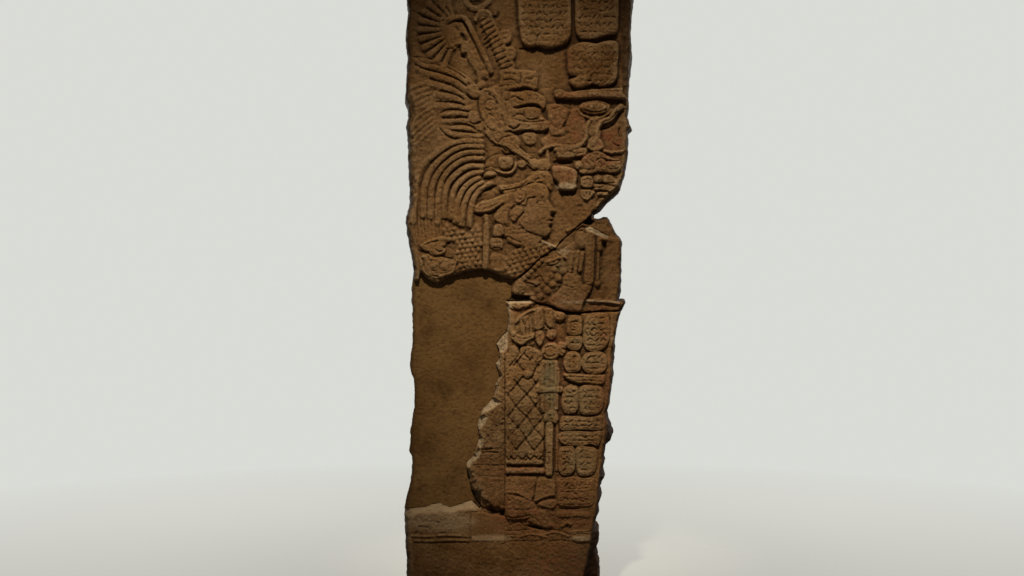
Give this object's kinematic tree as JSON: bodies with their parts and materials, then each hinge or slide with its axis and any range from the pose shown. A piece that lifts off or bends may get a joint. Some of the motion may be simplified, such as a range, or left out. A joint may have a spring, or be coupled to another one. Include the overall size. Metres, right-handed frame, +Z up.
{
  "type": "carved stone stele",
  "caption": "Tall upright limestone slab carved in low relief with a plumed figure, joined fragments, a plain recessed fill and a cut-off foot.",
  "frame": {"origin": "centre of the foot's underside", "axes": "+Z up, the carved face looks towards -Y, +X to the right as a viewer faces the carving"},
  "size_m": [1.156, 0.36, 3.3],
  "materials": {
    "warm_stone": null,
    "skirt_stone": null,
    "foot_stone": null,
    "filler": null
  },
  "bodies": {
    "root": {"upper_fragment": "warm_stone", "forearm_fragment": "warm_stone", "skirt_fragment": "skirt_stone", "skirt_side_fragment": "skirt_stone", "fill_panel": "filler", "base_block": "foot_stone", "base_patch": "filler"}
  },
  "joints": []
}
